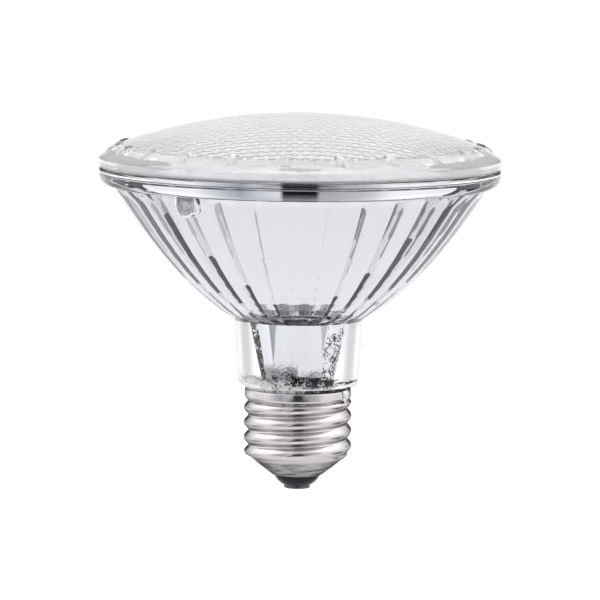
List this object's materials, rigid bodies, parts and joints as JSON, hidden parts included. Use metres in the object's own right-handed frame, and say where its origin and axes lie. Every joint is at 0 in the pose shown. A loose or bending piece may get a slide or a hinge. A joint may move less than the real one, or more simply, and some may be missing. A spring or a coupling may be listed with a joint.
{
  "type": "par spotlight bulb",
  "caption": "Reflector lamp with a domed stippled glass lens, a faceted silvered pressed-glass bowl, a short glass neck and a right-hand screw base.",
  "frame": {"origin": "centre of the flat end contact at the tip of the screw base, where the lamp meets its holder", "axes": "+Z along the lamp's axis from the screw base towards the lens, -Y towards the viewer of the picture"},
  "size_m": [0.097, 0.097, 0.091],
  "materials": {
    "lens_glass": "clear pressed glass, stippled inside",
    "seal_bead": "dark adhesive bead",
    "silvered_glass": "clear glass with a bright aluminium film inside",
    "basing_cement": "dull fired cement",
    "nickel_shell": "bright nickel plate with a warm tone",
    "solder": "bright, wrinkled solder",
    "black_insulator": "glossy black glass",
    "contact_metal": "tarnished tinned brass",
    "quartz": "clear quartz",
    "ceramic_cement": "rough white cement",
    "tungsten": "dark drawn wire",
    "lead_wire": "plain drawn wire",
    "fuse_glass": "clear glass bead",
    "seal_foil": "thin bright foil",
    "pin_metal": "drawn wire"
  },
  "bodies": {
    "root": {"front_lens": "lens_glass", "lens_seal": "seal_bead", "reflector": "silvered_glass", "basing_cement": "basing_cement", "screw_shell": "nickel_shell", "side_solder": "solder", "shell_insulator": "black_insulator", "centre_contact": "contact_metal", "centre_solder": "solder", "burner_envelope": "quartz", "burner_cement": "ceramic_cement", "filament": "tungsten", "side_lead": "lead_wire", "fuse_lead": "lead_wire", "lead_fuse": "fuse_glass", "centre_lead": "lead_wire", "seal_foil_a": "seal_foil", "seal_foil_b": "seal_foil", "burner_pin_a": "pin_metal", "burner_pin_b": "pin_metal", "filament_leg_a": "pin_metal", "filament_leg_b": "pin_metal"}
  },
  "joints": []
}
